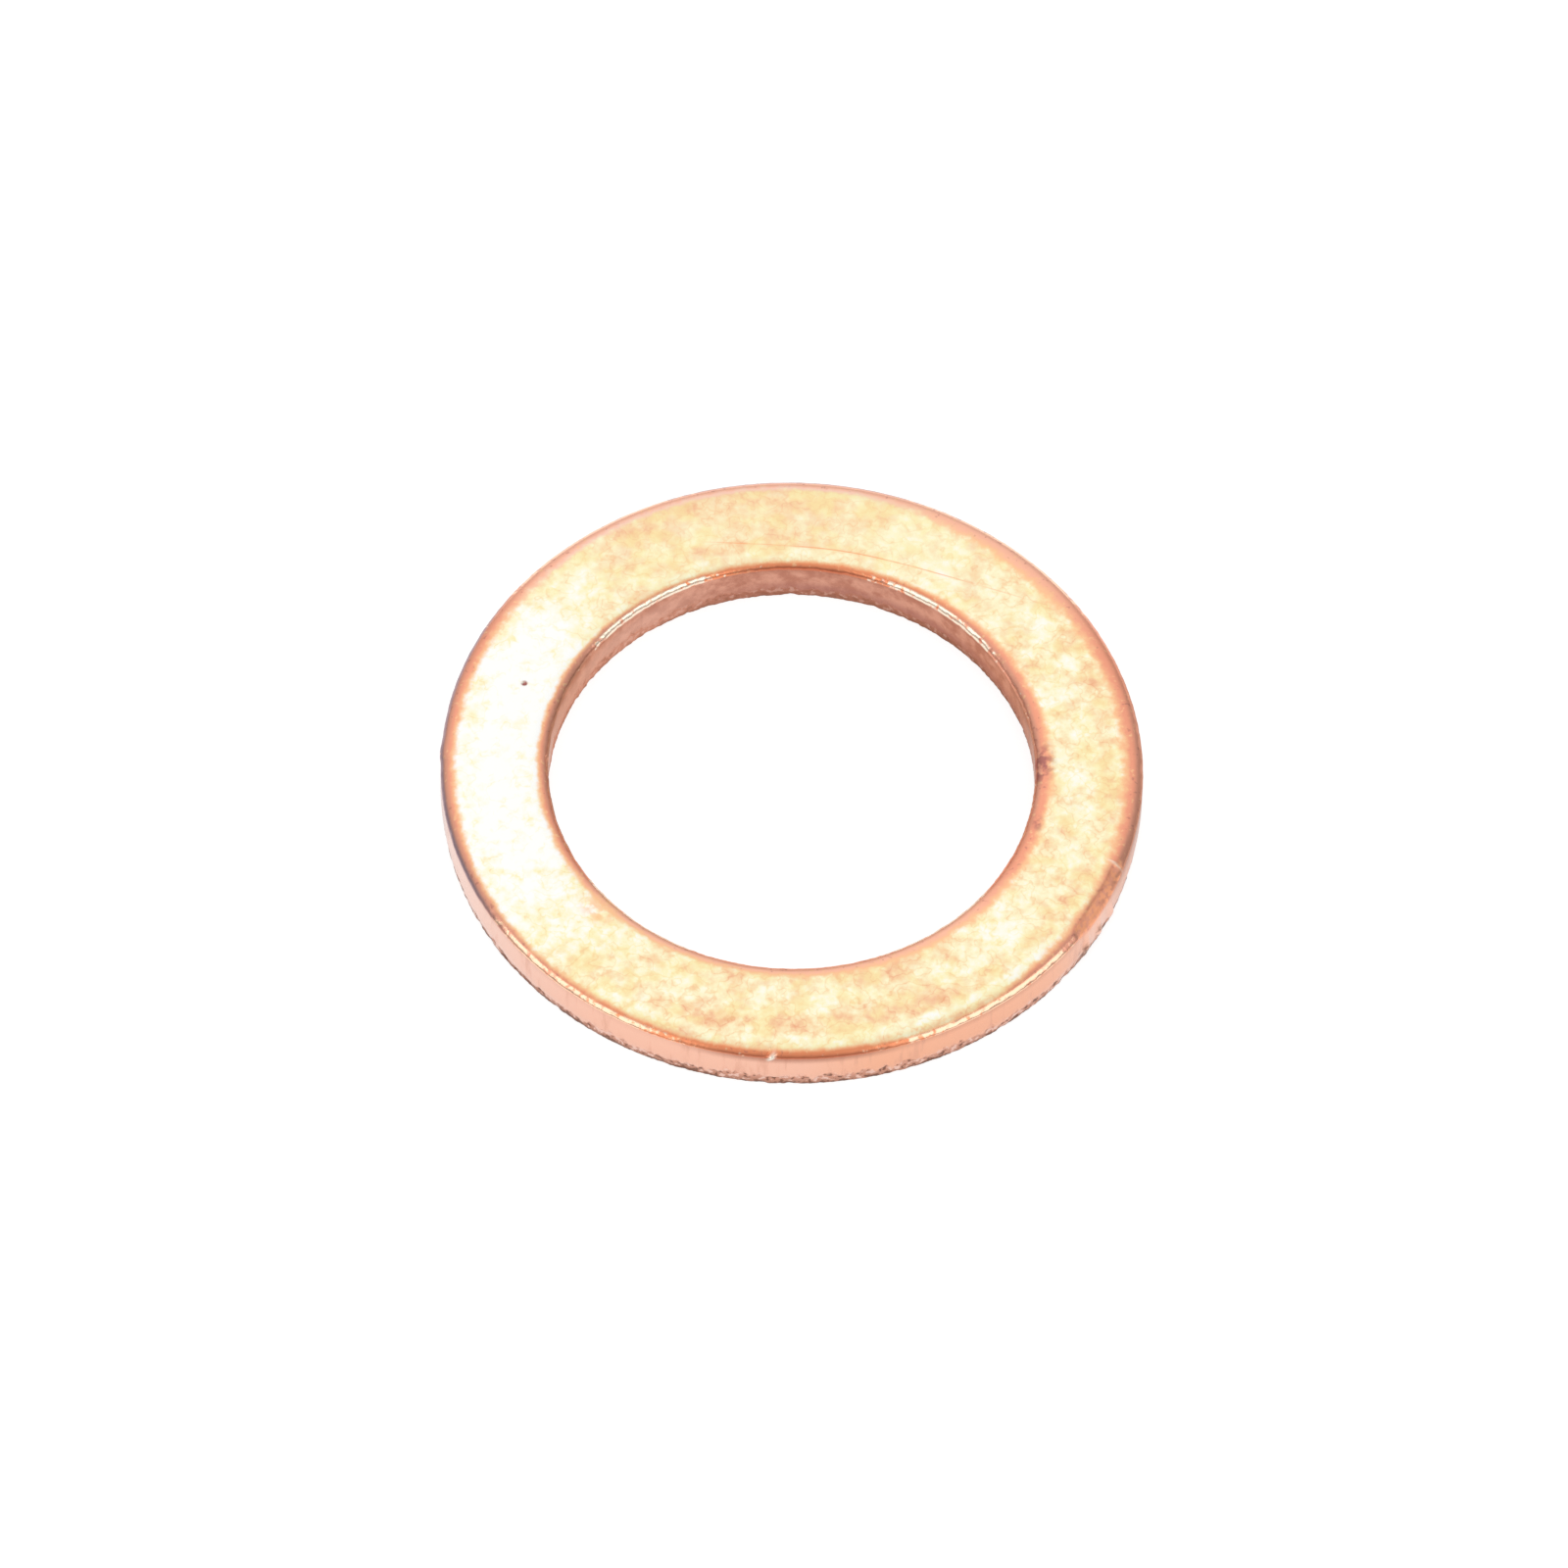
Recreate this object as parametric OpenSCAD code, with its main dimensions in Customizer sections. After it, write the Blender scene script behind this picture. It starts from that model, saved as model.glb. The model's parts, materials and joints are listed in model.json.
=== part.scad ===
// Copper sealing washer for the drain plug of an oil pan, blanked and pierced from sheet in one stroke.
// Millimetres. +Z is up. The origin is the centre of the lower face, which is the burr side.

/* [Washer] */
// Diameter of the hole, a clearance for an M14 drain plug
hole_d = 14; // [8:0.1:16]
// Diameter over the outer wall
outer_d = 20.2; // [19.6:0.1:30]
// Thickness of the sheet
thickness = 1.58; // [1.2:0.01:3]

/* [Die rolls] */
// How far the rounded top edge reaches in from the outer wall
outer_roll_w = 0.7; // [0.6:0.01:0.8]
// How far that edge drops below the upper face
outer_roll_drop = 0.23; // [0.15:0.01:0.3]
// How far the rounded top edge reaches out from the hole's wall
hole_roll_w = 0.6; // [0.5:0.01:0.7]
// How far that edge drops below the upper face
hole_roll_drop = 0.19; // [0.12:0.01:0.2]
// Share of a roll's width over which it bends only slowly
slow_share = 0.57; // [0.5:0.01:0.65]
// Share of a roll's drop that is reached there
slow_drop_share = 0.18; // [0.1:0.01:0.2]

/* [Torn bands] */
// Height of the torn band at the foot of the outer wall
outer_torn_h = 0.48; // [0.2:0.01:0.7]
// How far that band leans in at the lower face
outer_torn_lean = 0.05; // [0.01:0.01:0.1]
// Height of the torn band at the foot of the hole's wall
hole_torn_h = 0.42; // [0.2:0.01:0.7]
// How far that band opens out at the lower face
hole_torn_lean = 0.04; // [0.01:0.01:0.1]

/* [Wear marks] */
// Direction of the sliver nicked out of the outer edge, in degrees from +X
nick_angle = -92; // [-180:1:180]
// Radius of the tool corner that made the nick
nick_r = 0.16; // [0.08:0.01:0.3]
// How deep the nick is
nick_depth = 0.05; // [0.02:0.01:0.08]
// How far the nick slants from upright, in degrees
nick_slant = 35; // [0:1:60]
// Direction of the dent in the outer roll, in degrees from +X
dent_angle = -20; // [-180:1:180]
// Distance of the dent's middle from the outer wall
dent_in = 0.25; // [0.2:0.01:0.4]
// Radius of the ball that would fill the dent
dent_r = 0.5; // [0.3:0.01:0.8]
// How deep the dent is
dent_depth = 0.06; // [0.02:0.01:0.1]
// Direction of the flat struck across the outer corner, in degrees from +X
crushed_angle = -27; // [-180:1:180]
// How much of the corner the flat took off
crushed_depth = 0.12; // [0.05:0.01:0.2]
// How far the flat leans out from level, in degrees
crushed_lean = 51; // [30:1:65]
// How far before its middle the flat begins, with a small step
crushed_before = 1.25; // [0.5:0.05:1.5]
// Direction of the pit in the upper face, in degrees from +X
pit_angle = 162; // [-180:1:180]
// Distance of the pit from the hole's wall
pit_in = 1.2; // [0.6:0.01:1.4]
// Radius of the pit at the surface
pit_r = 0.09; // [0.05:0.01:0.2]

/* [Hidden] */
$fn = 180;

hole_r = hole_d / 2;
outer_r = outer_d / 2;
// How far the cutting shapes run past the surfaces that they cut
past = 0.2;

// What a die roll takes off a square corner at the origin, whose face is y = 0 and whose wall is x = 0:
// a slow arc leaves the face smoothly, and a tighter one carries on from it and ends at the wall
module roll_waste(w, drop) {
    slow_w = slow_share * w;
    slow_drop = slow_drop_share * drop;
    slow_r = (slow_w * slow_w + slow_drop * slow_drop) / (2 * slow_drop);
    slow_turn = asin(slow_w / slow_r);
    tight_w = w - slow_w;
    tight_drop = drop - slow_drop;
    tight_r = norm([tight_w, tight_drop]) / (2 * sin(atan2(tight_drop, tight_w) - slow_turn));
    difference() {
        translate([-w, -drop]) square([slow_w, drop + past]);
        translate([-w, -slow_r]) circle(slow_r);
    }
    difference() {
        translate([-tight_w, -drop - past]) square([tight_w + past, drop + 2 * past]);
        translate([-tight_w - tight_r * sin(slow_turn), -slow_drop - tight_r * cos(slow_turn)]) circle(tight_r);
    }
}

// The ring's section, with radius along x and height along y: above, the sheared walls are straight and
// burnished, and below them the metal tore, so the outer wall leans in and the hole's wall opens out
module sheared_section() {
    polygon([
        [hole_r + hole_torn_lean, 0],
        [outer_r - outer_torn_lean, 0],
        [outer_r, outer_torn_h],
        [outer_r, thickness],
        [hole_r, thickness],
        [hole_r, hole_torn_h]
    ]);
}

module blanked_section() {
    difference() {
        sheared_section();
        translate([outer_r, thickness]) roll_waste(outer_roll_w, outer_roll_drop);
        translate([hole_r, thickness]) mirror([1, 0]) roll_waste(hole_roll_w, hole_roll_drop);
    }
}

// A slanting groove where a hard corner nicked the edge between the outer roll and the wall
module edge_nick() {
    rotate([0, 0, nick_angle])
        translate([outer_r + nick_r - nick_depth, 0, thickness - outer_roll_drop])
            rotate([nick_slant, 0, 0])
                cylinder(r = nick_r, h = 2 * outer_roll_drop, center = true);
}

// A round dent struck into the outer roll
module roll_dent() {
    rotate([0, 0, dent_angle])
        translate([outer_r - dent_in, 0, thickness + dent_r - dent_depth - outer_roll_drop / 4])
            sphere(r = dent_r);
}

// A flat struck across the corner between the outer roll and the wall
module crushed_corner() {
    half_w = 0.8;
    length = 4;
    rotate([0, 0, crushed_angle])
        translate([outer_r, 0, thickness - outer_roll_drop])
            rotate([0, crushed_lean, 0])
                translate([-half_w, -crushed_before, -crushed_depth])
                    cube([2 * half_w, length, 1]);
}

// A small round pit in the upper face, half as deep as it is wide
module face_pit() {
    rotate([0, 0, pit_angle])
        translate([hole_r + pit_in, 0, thickness])
            sphere(r = pit_r);
}

module sealing_washer() {
    color("#f0bf96")
        difference() {
            rotate_extrude() blanked_section();
            edge_nick();
            roll_dent();
            crushed_corner();
            face_pit();
        }
}

sealing_washer();
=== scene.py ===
"""A copper sealing washer for an oil pan's drain plug, blanked from sheet, and the studio it lies in."""

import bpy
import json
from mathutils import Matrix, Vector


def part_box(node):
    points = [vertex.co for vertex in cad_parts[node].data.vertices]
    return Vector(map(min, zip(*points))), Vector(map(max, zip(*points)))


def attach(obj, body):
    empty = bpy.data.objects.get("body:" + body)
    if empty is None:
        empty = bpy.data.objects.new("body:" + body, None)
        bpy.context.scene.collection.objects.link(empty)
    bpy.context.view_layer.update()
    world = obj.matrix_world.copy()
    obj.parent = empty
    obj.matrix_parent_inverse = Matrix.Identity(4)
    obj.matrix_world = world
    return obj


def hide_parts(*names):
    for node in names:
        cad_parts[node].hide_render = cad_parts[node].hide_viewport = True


bl_info = {
    "name": "Copper sealing washer",
    "version": (1, 0, 0),
    "blender": (4, 5, 0),
    "location": "3D View > Sidebar > Washer",
    "description": "Adds a blanked copper sealing washer with sheared edges, and a pale studio around it",
    "category": "Add Mesh",
}

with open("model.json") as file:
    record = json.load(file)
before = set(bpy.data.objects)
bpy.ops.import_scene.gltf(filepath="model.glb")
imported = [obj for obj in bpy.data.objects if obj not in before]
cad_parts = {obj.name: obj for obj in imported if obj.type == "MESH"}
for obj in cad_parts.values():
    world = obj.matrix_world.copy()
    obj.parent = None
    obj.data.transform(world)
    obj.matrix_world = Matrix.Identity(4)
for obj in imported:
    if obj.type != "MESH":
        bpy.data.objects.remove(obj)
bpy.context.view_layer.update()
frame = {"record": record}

import json
import math

import bmesh
import bpy
from mathutils import Matrix, Vector, noise

MM = 0.001
NODE = "sealing_washer"
BODY = "root"

WASHER_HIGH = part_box(NODE)[1]
BORE = next(m for m in frame["record"]["mounts"] if m["name"] == "bore")
OUTER_R = WASHER_HIGH.x
THICKNESS = WASHER_HIGH.z
HOLE_R = BORE["dims"]["r_mm"] * MM
# The radius half way across the ring: what lies inside it belongs to the hole's edge
MIDDLE_R = (OUTER_R + HOLE_R) / 2


def linear(hex_colour):
    """The linear RGBA of an sRGB colour written as RRGGBB."""
    channels = [int(hex_colour[i:i + 2], 16) / 255 for i in (0, 2, 4)]
    return [c / 12.92 if c <= 0.04045 else ((c + 0.055) / 1.055) ** 2.4 for c in channels] + [1.0]


def length_prop(name, description, default_mm, most_mm=10.0):
    """A length property, given in millimetres and held in metres."""
    return bpy.props.FloatProperty(
        name=name, description=description, default=default_mm * MM, min=0.0, max=most_mm * MM,
        precision=5, subtype="DISTANCE", unit="LENGTH",
    )


def share_prop(name, description, default):
    """A share from 0 to 1."""
    return bpy.props.FloatProperty(
        name=name, description=description, default=default, min=0.0, max=1.0, subtype="FACTOR",
    )


def angle_prop(name, description, degrees):
    """An angle property, given in degrees and held in radians."""
    return bpy.props.FloatProperty(
        name=name, description=description, default=math.radians(degrees), subtype="ANGLE", unit="ROTATION",
    )


def colour_prop(name, description, hex_colour):
    """A colour property, given as an sRGB hex value and held as linear RGBA."""
    return bpy.props.FloatVectorProperty(
        name=name, description=description, default=linear(hex_colour), size=4, min=0.0, max=1.0,
        subtype="COLOR",
    )


class WasherSection(bpy.types.PropertyGroup):
    """What blanking leaves on the ring's edges."""

    outer_roll_w: length_prop("Outer roll width", "How far the rounded top edge reaches in", 0.7)
    outer_roll_drop: length_prop("Outer roll drop", "How far that edge drops below the face", 0.23)
    hole_roll_w: length_prop("Hole roll width", "How far the rounded top edge reaches out from the hole", 0.6)
    hole_roll_drop: length_prop("Hole roll drop", "How far that edge drops below the face", 0.19)
    slow_share: share_prop("Slow share", "Share of a roll's width over which it bends only slowly", 0.57)
    slow_drop_share: share_prop("Slow drop share", "Share of a roll's drop that is reached there", 0.18)
    outer_torn_h: length_prop("Outer torn height", "Height of the torn band on the outer wall", 0.48)
    outer_torn_lean: length_prop("Outer torn lean", "How far that band leans in at the foot", 0.05)
    hole_torn_h: length_prop("Hole torn height", "Height of the torn band on the hole's wall", 0.42)
    hole_torn_lean: length_prop("Hole torn lean", "How far that band opens out at the foot", 0.04)
    outer_corner_r: length_prop("Outer corner radius", "Radius of the worn corner above the outer wall", 0.1)
    hole_corner_r: length_prop("Hole corner radius", "Radius of the worn corner above the hole's wall", 0.2)
    foot_round: length_prop("Foot rounding", "Height of the worn corner at the lower face", 0.02)


class WasherWear(bpy.types.PropertyGroup):
    """How rough the shear was, and the marks of handling."""

    crest_ripple: length_prop("Crest ripple", "How far the corner under the outer roll wanders", 0.012)
    hole_ripple: length_prop("Hole ripple", "How far the corner under the hole's roll wanders", 0.022)
    torn_ripple: length_prop("Torn ripple", "How rough the torn bands are", 0.03)
    nick_angle: angle_prop("Nick direction", "Where a sliver was lifted on the outer edge", -92.1)
    dent_angle: angle_prop("Dent direction", "Where the outer roll was struck", -20.5)
    dent_in: length_prop("Dent distance", "Distance of the dent from the outer wall", 0.14)
    crushed_angle: angle_prop("Crushed direction", "Where a flat was struck across the outer corner", -27.0)
    crushed_depth: length_prop("Crushed depth", "How much of the corner the flat took off", 0.12)
    crushed_lean: angle_prop("Crushed lean", "How far the flat leans out from level", 51.0)
    crushed_before: length_prop("Crushed before", "How far before its middle the flat begins", 1.25)
    swell_angle: angle_prop("Swell direction", "Where the outer edge bulges a little", 178.7)
    swell_height: length_prop("Swell height", "How far it bulges", 0.03)
    chip_angle: angle_prop("Chip direction", "Where the hole's edge is chipped", 179.3)
    pit_angle: angle_prop("Pit direction", "Where the upper face has a pit", 161.7)
    pit_in: length_prop("Pit distance", "Distance of the pit from the hole's wall", 1.18)


class WasherFinish(bpy.types.PropertyGroup):
    """Colours of annealed copper sheet and of its sheared edges, with painted highlight and painted shade
    among them.
    """

    oxide: colour_prop("Sheet oxide", "Spots of the rolled faces where oxide stayed", "EFAE86")
    copper: colour_prop("Sheet copper", "Warmest grains of the rolled faces", "F6C49C")
    gold: colour_prop("Sheet gold", "Warm grains of the rolled faces", "FBDAAC")
    straw: colour_prop("Sheet straw", "Most of the rolled faces", "FCE8BE")
    cream: colour_prop("Sheet cream", "Light grains of the rolled faces", "FEF7D0")
    # Pale and bright also carry the painted highlight on the left of the upper face, where a lamp's
    # reflection falls.
    pale: colour_prop("Sheet pale", "Where handling wore the sheet", "FFFCEC")
    bright: colour_prop("Sheet bright", "Where handling wore the sheet most", "FFFFFC")
    blush: colour_prop("Sheet blush", "Pink blotches where the oxide was thicker", "F6C6A6")
    lemon: colour_prop("Sheet lemon", "Yellow blotches where the oxide was thinner", "FCEEA8")
    dirt: colour_prop("Dirt", "Dirt and tarnish that stayed in hollows", "B4746C")
    # The rim and roll colours change with direction and with depth down the roll: partly the drawn copper,
    # partly painted shade where the edges bend away from the light, deeper in front, at the sides and low on
    # the rolls, and paler behind, where they are a painted highlight.
    rim: colour_prop("Rim tint", "Warmer metal along the edges of the faces", "FFCA9A")
    rim_far: colour_prop("Rim tint, far", "Its paler pink on the far side", "FFD6C2")
    roll: colour_prop("Rolled edge", "Drawn copper on the rounded edges in front", "FBA370")
    roll_pink: colour_prop("Rolled edge, pink", "Drawn copper on the rounded edges at the sides", "F4A486")
    roll_far: colour_prop("Rolled edge, far", "Drawn copper on the rounded edges behind", "FFC0A4")
    roll_low: colour_prop("Rolled edge, low", "Where those in front were drawn most", "FA9C70")
    roll_low_pink: colour_prop("Rolled edge, low, pink", "Where those at the sides were drawn most", "EEA88E")
    # The polished corners' pale colours are partly a painted glint where the side lamps are mirrored, the
    # hole's most of all. The dark, brown and lilac corner colours are painted shade: in front, at the right
    # and in the hole, and on the left and behind; the lilac also shades the walls seen edge on.
    crest: colour_prop("Polished corner", "The corners that handling polished", "FFD2B2")
    crest_hole: colour_prop("Polished corner, hole", "The hole's corner, which was polished most", "FFF0DA")
    crest_dull: colour_prop("Dull corner", "Those corners in front, where they stayed dull", "D27A5A")
    crushed: colour_prop("Crushed corner", "Copper smeared where the outer corner was struck", "FFB48A")
    crest_side: colour_prop("Dull corner, brown", "Those corners at the right and in the hole", "B07E68")
    crest_lilac: colour_prop("Dull corner, lilac", "The outer corner on the left and behind", "AE949A")
    wall: colour_prop("Burnished wall", "Copper wiped smooth by the die", "F8C3AB")
    # The next two colours are painted shade: near the tops of the walls in front and on the right, and on the
    # walls in front on the right. The pale one after them is a painted highlight, on the walls at the ring's
    # left and right and low on the hole's wall on the left.
    wall_dull: colour_prop("Burnished wall, dull", "The dull upper part of the walls in front", "B07662")
    wall_warm: colour_prop("Burnished wall, warm", "Warmer copper in front on the right", "F6B898")
    wall_pale: colour_prop("Burnished wall, pale", "Paler copper at the left and right", "F6CEBE")
    hole_wall: colour_prop("Pierced wall", "The hole's wall, duller than the outer one", "DCA28C")
    hole_wall_dull: colour_prop("Pierced wall, dull", "Blotches on the hole's wall", "BE826E")
    # Painted shade on the lower part of the hole's wall, mostly on the right.
    hole_wall_low: colour_prop("Pierced wall, low", "The dirty lower part of the hole's wall", "B0786E")
    # This tint darkens the grazing reflections of the hole's walls and of the walls on the right; on the
    # right that is painted shade.
    edge_on: colour_prop("Walls seen edge on", "What dull walls mirror where they are seen edge on", "E8CABA")
    torn: colour_prop("Torn copper", "The rough band at the foot of the walls", "E0A68E")
    torn_light: colour_prop("Torn ridges", "Ridges of the torn band", "FBD8CA")
    torn_dark: colour_prop("Torn hollows", "Dirt in the hollows of the torn band", "8E6250")


class WasherStudio(bpy.types.PropertyGroup):
    """The light, the floor and the camera."""

    floor_colour: colour_prop("Floor", "A sheet of white card", "B8B8B8")
    floor_lift: share_prop("Floor lift", "How much brighter the card shows than it lights", 0.76)
    mirror_lift: share_prop("Mirror lift", "How much brighter the metal sees the card than it lights", 0.68)
    camera_elevation: angle_prop("Camera elevation", "Height of the camera above the horizon", 55.2)
    camera_roll: angle_prop("Camera roll", "Turn of the camera about its own line of sight", 1.49)
    camera_distance: length_prop("Camera distance", "From the washer's centre to the camera", 600.0, 2000.0)


# Mesh steps

# The ring is a sector of a few steps, doubled until it is whole
SECTOR_STEPS = 10
DOUBLINGS = 7
SLOW_ARC_STEPS = 3
TIGHT_ARC_STEPS = 7
CREST_ARC_STEPS = 4
# Longest piece of the section's line on each surface
WALL_PITCH = 0.12 * MM
TORN_PITCH = 0.055 * MM
FACE_PITCH = 0.4 * MM
LOWER_FACE_PITCH = 1.1 * MM
# How far around each mark of handling the mesh is finer, and the longest edge left there
MARK_PITCHES = (
    ("nick", 0.34 * MM, 0.03 * MM),
    ("dent", 0.7 * MM, 0.05 * MM),
    ("pit", 0.5 * MM, 0.045 * MM),
)
# The most pieces that an edge there is cut into
MOST_PIECES = 10
MERGE_DISTANCE = 0.0001 * MM


def roll_arcs(width, drop, corner_r, section):
    """The three arcs of a worn die roll, from the face to the wall: for each its turn and its centre, which
    is given inwards from the wall and down from the face. The last one rounds the corner above the wall."""
    slow_w = section.slow_share * width
    slow_drop = section.slow_drop_share * drop
    slow_r = (slow_w ** 2 + slow_drop ** 2) / (2 * slow_drop)
    slow_turn = math.asin(slow_w / slow_r)
    chord = Vector((width - slow_w, drop - slow_drop))
    tight_r = chord.length / (2 * math.sin(math.atan2(chord.y, chord.x) - slow_turn))
    tight_in = chord.x + tight_r * math.sin(slow_turn)
    tight_down = slow_drop + tight_r * math.cos(slow_turn)
    between = tight_r - corner_r
    crest_turned = math.asin((tight_in - corner_r) / between)
    crest_down = tight_down - between * math.cos(crest_turned)
    return (
        (slow_turn, width, slow_r),
        (crest_turned - slow_turn, tight_in, tight_down),
        (math.pi / 2 - crest_turned, corner_r, crest_down),
    )


def draw_line(bm, start, x, z):
    """Draw a straight edge in the section from a vertex, and give its far end."""
    end = bmesh.ops.extrude_vert_indiv(bm, verts=[start])["verts"][0]
    end.co = (x, 0.0, z)
    return end


def draw_arc(bm, start, centre_x, centre_z, angle, steps):
    """Draw an arc in the section from a vertex, and give its far end."""
    spun = bmesh.ops.spin(
        bm, geom=[start], cent=(centre_x, 0.0, centre_z), axis=(0.0, 1.0, 0.0), dvec=(0.0, 0.0, 0.0),
        angle=angle, steps=steps,
    )
    return next(e for e in spun["geom_last"] if isinstance(e, bmesh.types.BMVert))


def pitch_of(edge, section):
    """The longest piece that an edge of the section may be left with."""
    low, high = sorted(v.co.z for v in edge.verts)
    if high < MERGE_DISTANCE:
        return LOWER_FACE_PITCH
    if low > THICKNESS - MERGE_DISTANCE:
        return FACE_PITCH
    if high < max(section.outer_torn_h, section.hole_torn_h) + MERGE_DISTANCE:
        return TORN_PITCH
    return WALL_PITCH


def draw_section(section):
    """The closed outline of the blanked ring's section, in the plane y = 0."""
    face_in = HOLE_R + section.hole_roll_w
    arc_steps = (SLOW_ARC_STEPS, TIGHT_ARC_STEPS, CREST_ARC_STEPS)

    bm = bmesh.new()
    start = bm.verts.new((face_in, 0.0, THICKNESS))
    end = draw_line(bm, start, OUTER_R - section.outer_roll_w, THICKNESS)
    outer_arcs = roll_arcs(section.outer_roll_w, section.outer_roll_drop, section.outer_corner_r, section)
    for (turn, centre_in, centre_down), steps in zip(outer_arcs, arc_steps):
        end = draw_arc(bm, end, OUTER_R - centre_in, THICKNESS - centre_down, turn, steps)
    outer_break = draw_line(bm, end, OUTER_R, section.outer_torn_h)
    outer_foot = draw_line(bm, outer_break, OUTER_R - section.outer_torn_lean, 0.0)
    hole_foot = draw_line(bm, outer_foot, HOLE_R + section.hole_torn_lean, 0.0)
    hole_break = draw_line(bm, hole_foot, HOLE_R, section.hole_torn_h)
    hole_arcs = roll_arcs(section.hole_roll_w, section.hole_roll_drop, section.hole_corner_r, section)
    end = draw_line(bm, hole_break, HOLE_R, THICKNESS - hole_arcs[-1][-1])
    for (turn, centre_in, centre_down), steps in zip(reversed(hole_arcs), reversed(arc_steps)):
        end = draw_arc(bm, end, HOLE_R + centre_in, THICKNESS - centre_down, turn, steps)
    bmesh.ops.pointmerge(bm, verts=[start, end], merge_co=start.co)

    bmesh.ops.bevel(
        bm, geom=[outer_foot, hole_foot], offset=section.foot_round, offset_type="OFFSET",
        segments=1, profile=0.5, affect="VERTICES", material=-1,
    )
    for edge in bm.edges[:]:
        pieces = math.ceil(edge.calc_length() / pitch_of(edge, section))
        if pieces > 1:
            bmesh.ops.subdivide_edges(bm, edges=[edge], cuts=pieces - 1)
    return bm


def spin_ring(bm):
    """Turn the section into a sector of the ring, double that until it is whole, and close the seams."""
    sector = math.tau / 2 ** DOUBLINGS
    bmesh.ops.spin(
        bm, geom=bm.verts[:] + bm.edges[:], cent=(0.0, 0.0, 0.0), axis=(0.0, 0.0, 1.0), dvec=(0.0, 0.0, 0.0),
        angle=sector, steps=SECTOR_STEPS,
    )
    for doubling in range(DOUBLINGS):
        copied = bmesh.ops.duplicate(bm, geom=bm.verts[:] + bm.edges[:] + bm.faces[:])["geom"]
        bmesh.ops.rotate(
            bm, verts=[e for e in copied if isinstance(e, bmesh.types.BMVert)], cent=(0.0, 0.0, 0.0),
            matrix=Matrix.Rotation(sector * 2 ** doubling, 3, "Z"),
        )
    bmesh.ops.remove_doubles(bm, verts=bm.verts[:], dist=MERGE_DISTANCE)
    bmesh.ops.recalc_face_normals(bm, faces=bm.faces[:])


def refine_near(bm, centre, reach, pitch):
    """Cut the long edges around a small mark, so that the mark has a shape of its own."""
    for pieces in range(MOST_PIECES, 1, -1):
        edges = [
            e for e in bm.edges
            if math.ceil(e.calc_length() / pitch) == pieces
            and all((v.co - centre).length < reach for v in e.verts)
        ]
        if edges:
            bmesh.ops.subdivide_edges(bm, edges=edges, cuts=pieces - 1, use_grid_fill=True)


# Relief

# The lumps of each kind of roughness: the weight, size and shift of every noise in it
CREST_LUMPS = ((0.6, 0.3 * MM, 0.0), (0.6, 0.13 * MM, 11.0))
CREST_RISE = ((0.6, 0.24 * MM, 23.0),)
RAGGED_LUMPS = ((1.0, 0.9 * MM, 3.0), (1.0, 0.3 * MM, 5.0), (1.0, 0.13 * MM, 7.0))
TORN_LUMPS = ((0.5, 0.22 * MM, 31.0), (0.5, 0.1 * MM, 37.0))
GOUGE_LUMPS = ((1.0, 0.3 * MM, 41.0),)
FOOT_LUMPS = ((0.8, 0.3 * MM, 43.0),)
FLAT_LUMPS = ((0.02 * MM, 0.4 * MM, 47.0),)
# How far from the corner above a wall its ripple fades out
CREST_REACH = 0.2 * MM
# The outer torn band is highest in this direction, and falls to its least share this far away from there
TORN_HIGH_AT = math.radians(-80.0)
TORN_HIGH_REACH = math.radians(80.0)
TORN_LEAST = 0.6
# How far in from a wall it is still torn, the mean height and raggedness of the band's upper edge as shares
# of its height, and how softly it ends there
TORN_IN = 0.12 * MM
TORN_MEAN = 0.9
TORN_RAGGED = 0.35
TORN_BLEND = 0.05 * MM
# As shares of its ripple: how far a corner sinks on the whole, how far a torn band does, where its gouges
# begin, and how deep they go
CREST_SUNK = 0.2
TORN_SUNK = 0.2
GOUGE_FROM = 0.2
GOUGE_DEPTH = 2.2
# How high up from the lower face the foot of a torn band is worn away
FOOT_REACH = 0.12 * MM
# How far the foot of the hole's wall opens out further on the right, and less on the left
HOLE_FOOT_SHIFT = 0.035 * MM

# How far down the outer roll the dent lies, as a share of its drop
DENT_DOWN = 0.4
# How far the marks of handling reach at most
MARK_REACH = {"nick": 0.5 * MM, "dent": 0.9 * MM, "flat": 2.6 * MM}
# The flake in the nick and the groove beside it slant at 45 degrees, whose cosine is about NICK_SLANT. Then
# how much of their shift is upwards, their half sizes, and the height of the one and the depth of the other
NICK_SLANT = 0.7
NICK_RISE = 0.6
FLAKE_HALF_LENGTH = 0.24 * MM
FLAKE_HALF = 0.11 * MM
FLAKE_HEIGHT = 0.06 * MM
GROOVE_OFF = 0.13 * MM
GROOVE_HALF = 0.04 * MM
GROOVE_DEPTH = 0.04 * MM
# The dent, and which way it and the ridge beside it shift the metal. Then where the ridge lies, how it
# slants, its half sizes, its height, and how freshly bared it is
DENT_R = 0.34 * MM
DENT_DEPTH = 0.04 * MM
DENT_OUT = 0.5
DENT_RISE = 0.8
RIDGE_OFF = 0.29 * MM
RIDGE_SLANT = 0.12
RIDGE_IN = 0.26 * MM
RIDGE_HALF_LENGTH = 0.42 * MM
RIDGE_HALF = 0.06 * MM
RIDGE_HEIGHT = 0.03 * MM
RIDGE_FRESH = 0.7
# How softly the flat runs into the surfaces around it, and between which distances from its given beginning
# it comes in
FLAT_BLEND = 0.05 * MM
FLAT_BEGINS = (-0.12 * MM, 0.2 * MM)
# Where burrs stand out below the flat, how far, how broad they are, how high up their middles lie, and how
# far up and down from there they reach
BURR_ANGLES = (math.radians(-32.0), math.radians(-28.2), math.radians(-24.0))
BURR_HEIGHT = 0.1 * MM
BURR_HALF = 0.24 * MM
BURR_Z = 0.5 * MM
BURR_REACH = 0.65 * MM
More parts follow.
